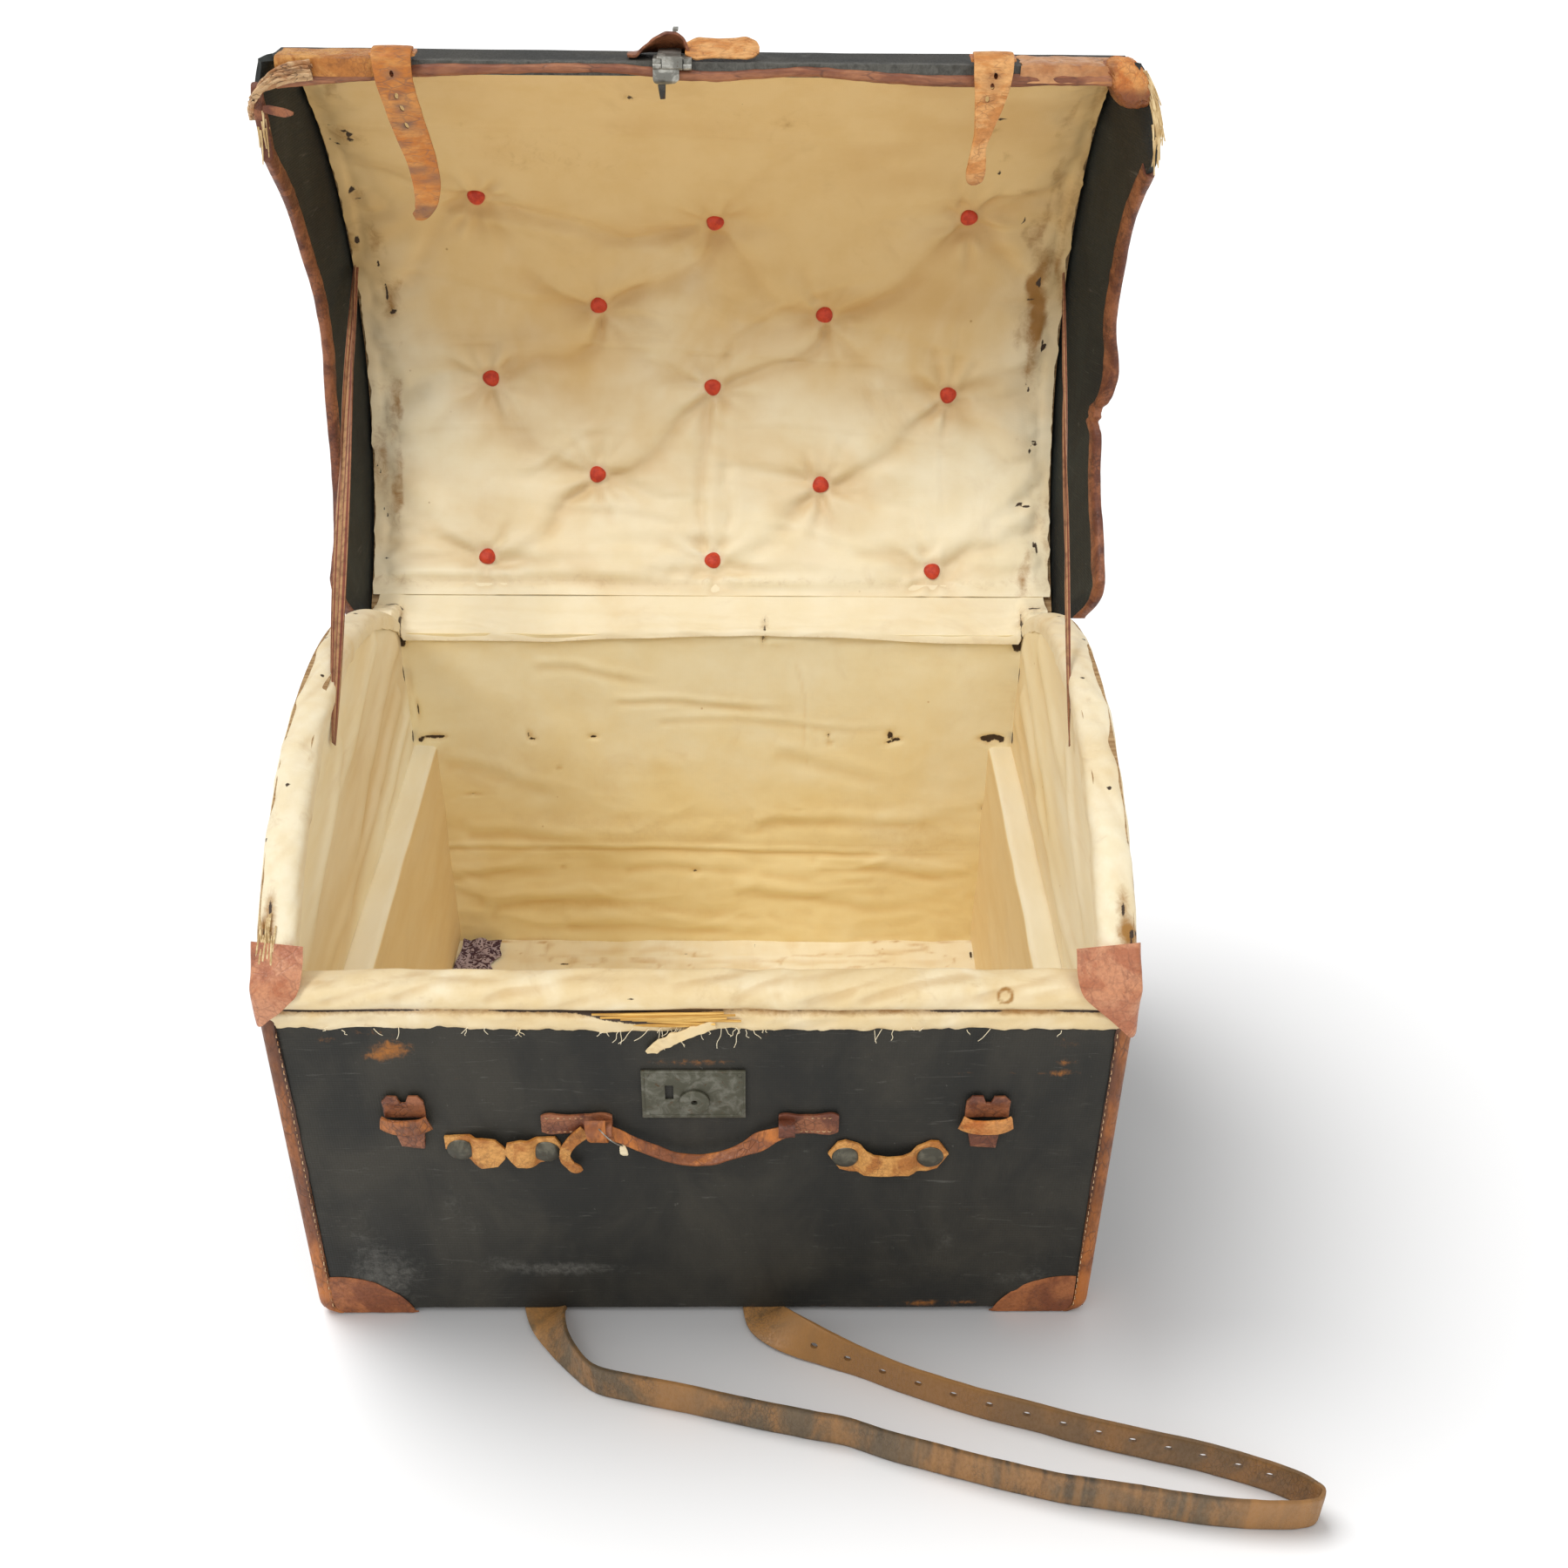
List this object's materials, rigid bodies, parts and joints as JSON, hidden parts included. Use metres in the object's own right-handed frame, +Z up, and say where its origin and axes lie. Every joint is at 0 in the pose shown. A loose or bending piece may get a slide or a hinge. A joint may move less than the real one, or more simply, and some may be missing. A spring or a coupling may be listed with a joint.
{
  "type": "dome top trunk",
  "caption": "Dome top travelling trunk, lid open: waxed canvas over a cane core, glazed lining with tufting buttons, leather edges, hasp lock, carrying handle and a loose girth strap.",
  "frame": {"origin": "on the ground under the middle of the trunk's body", "axes": "+X to the trunk's right, +Y to its back and hinges, +Z up"},
  "size_m": [0.7738, 0.7815, 0.8721],
  "materials": {
    "wood": "sawn",
    "cane": "woven cane, hidden under canvas and lining",
    "canvas": "waxed canvas, worn",
    "lining": "glazed cotton over wadding",
    "tape": "woven cotton tape",
    "button": "cloth-covered",
    "leather": "worn, stitched",
    "strap_leather": "dry, creased",
    "lock_metal": "tarnished",
    "iron": "plain"
  },
  "bodies": {
    "trunk": {"back_core": "cane", "base_runners": "wood", "belt_loop_left": "leather", "belt_loop_right": "leather", "belt_loop_rivets": "lock_metal", "bottom_corner_patches": "leather", "canvas_base": "canvas", "canvas_cover": "canvas", "chape_left": "leather", "chape_right": "leather", "corner_bindings_back": "leather", "corner_bindings_front": "leather", "floor_board": "wood", "front_core": "cane", "handle_tabs": "leather", "hinge_body_leaves": "iron", "hinge_gusset": "lining", "hinge_pins": "iron", "keeper_left": "leather", "keeper_right": "leather", "keyhole_boss": "lock_metal", "ledge_board_left": "wood", "ledge_board_right": "wood", "left_end_core": "cane", "lining_back": "lining", "lining_floor": "lining", "lining_front": "lining", "lining_left": "lining", "lining_right": "lining", "lock_case": "iron", "lock_plate": "lock_metal", "long_strap": "strap_leather", "right_end_core": "cane", "rim_front": "lining", "rim_left": "lining", "rim_right": "lining", "stay_left": "tape", "stay_right": "tape", "top_corner_patches": "leather"},
    "lid": {"lid_core": "cane", "lid_canvas": "canvas", "lid_lining": "lining", "lid_buttons": "button", "lid_skirt_left": "canvas", "lid_skirt_right": "canvas", "lid_binding_left": "leather", "lid_binding_right": "leather", "lid_binding_front": "leather", "lid_corner_caps": "leather", "lid_tab_anchors": "leather", "hasp_plate": "lock_metal", "hasp_pin": "iron", "hasp_leather": "leather", "hasp_flap": "leather", "hinge_lid_leaves": "iron"},
    "lid_tab_left": {"lid_tab_left": "strap_leather"},
    "lid_tab_right": {"lid_tab_right": "strap_leather"},
    "hasp": {"hasp_tongue": "lock_metal"},
    "handle": {"handle_strap": "leather"},
    "lock_bolt": {"lock_bolt": "iron"}
  },
  "joints": [
    {"name": "lid_hinge", "type": "hinge", "parent": "trunk", "child": "lid", "pos_m": [0, 0.24, 0.372], "axis": [1, 0, 0], "range_deg": [0, 90.5], "deforming": ["hinge_gusset", "stay_left", "stay_right"]},
    {"name": "lid_tab_left_hang", "type": "hinge", "parent": "lid", "child": "lid_tab_left", "pos_m": [0, 0.18276, 0.86052], "axis": [1, 0, 0], "range_deg": [-90.5, 0]},
    {"name": "lid_tab_right_hang", "type": "hinge", "parent": "lid", "child": "lid_tab_right", "pos_m": [0, 0.18276, 0.86052], "axis": [1, 0, 0], "range_deg": [-90.5, 0]},
    {"name": "hasp_hinge", "type": "hinge", "parent": "lid", "child": "hasp", "pos_m": [0, 0.18171, 0.85503], "axis": [1, 0, 0], "range_deg": [0, 180], "deforming": ["hasp_leather"]},
    {"name": "handle_swing", "type": "hinge", "parent": "trunk", "child": "handle", "pos_m": [0, -0.239, 0.212], "axis": [-1, 0, 0], "range_deg": [0, 100]},
    {"name": "lock_bolt_slide", "type": "slide", "parent": "trunk", "child": "lock_bolt", "axis": [-1, 0, 0], "range_m": [0, 0.0032]}
  ],
  "couplings": [
    {"joint": "lid_tab_left_hang", "follows": "lid_hinge", "ratio": -1},
    {"joint": "lid_tab_right_hang", "follows": "lid_hinge", "ratio": -1}
  ]
}
